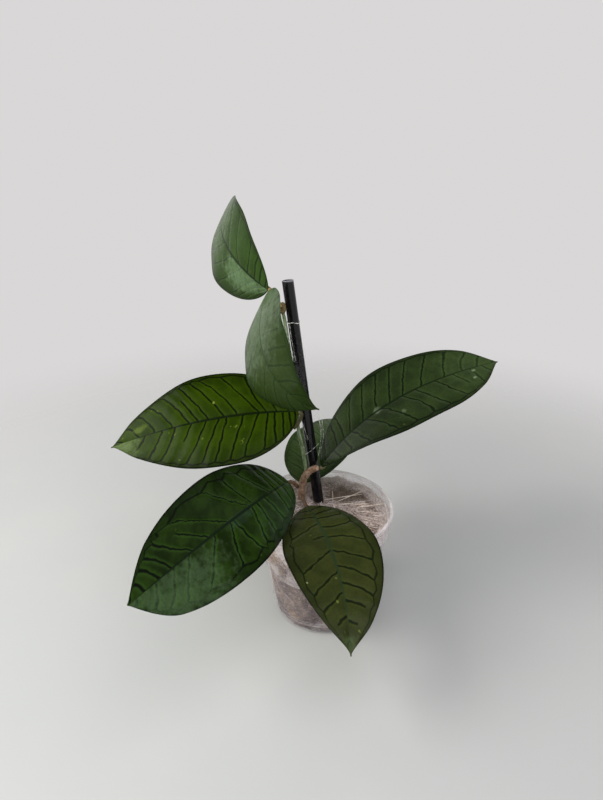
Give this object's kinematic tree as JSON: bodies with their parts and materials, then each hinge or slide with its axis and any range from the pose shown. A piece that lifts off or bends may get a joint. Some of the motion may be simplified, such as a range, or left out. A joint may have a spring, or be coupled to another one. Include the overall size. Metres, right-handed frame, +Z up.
{
  "type": "potted hoya",
  "caption": "Young climbing hoya with dark veined arched leaves in a clear nursery pot of moss, tied to a black stake",
  "frame": {"origin": "centre of the flat underside of the pot", "axes": "+Z up; +X to the right and -Y towards the viewer when the plant is seen from its front"},
  "size_m": [0.2499, 0.2442, 0.2618],
  "materials": {
    "clear_pot": "thin clear moulded plastic, slightly milky, with water stains inside",
    "moss": "dry pale sphagnum moss, matte and stringy",
    "stake_plastic": "glossy black plastic tube",
    "stem_bark": "corky brown bark, greener and smoother towards the tip",
    "leaf": "thick waxy leaf, dark green with darker veins and pale flecks",
    "leaf_bright": "thick waxy leaf, yellow green with dark veins",
    "clear_film": "thin wrinkled clear film"
  },
  "bodies": {
    "root": {"pot": "clear_pot", "moss": "moss", "stake": "stake_plastic", "vine": "stem_bark", "leaf_top_left": "leaf", "leaf_top_hanging": "leaf", "leaf_left": "leaf_bright", "leaf_front_left": "leaf", "leaf_front": "leaf", "leaf_right": "leaf", "leaf_back": "leaf", "film_upper": "clear_film", "film_lower": "clear_film"}
  },
  "joints": []
}
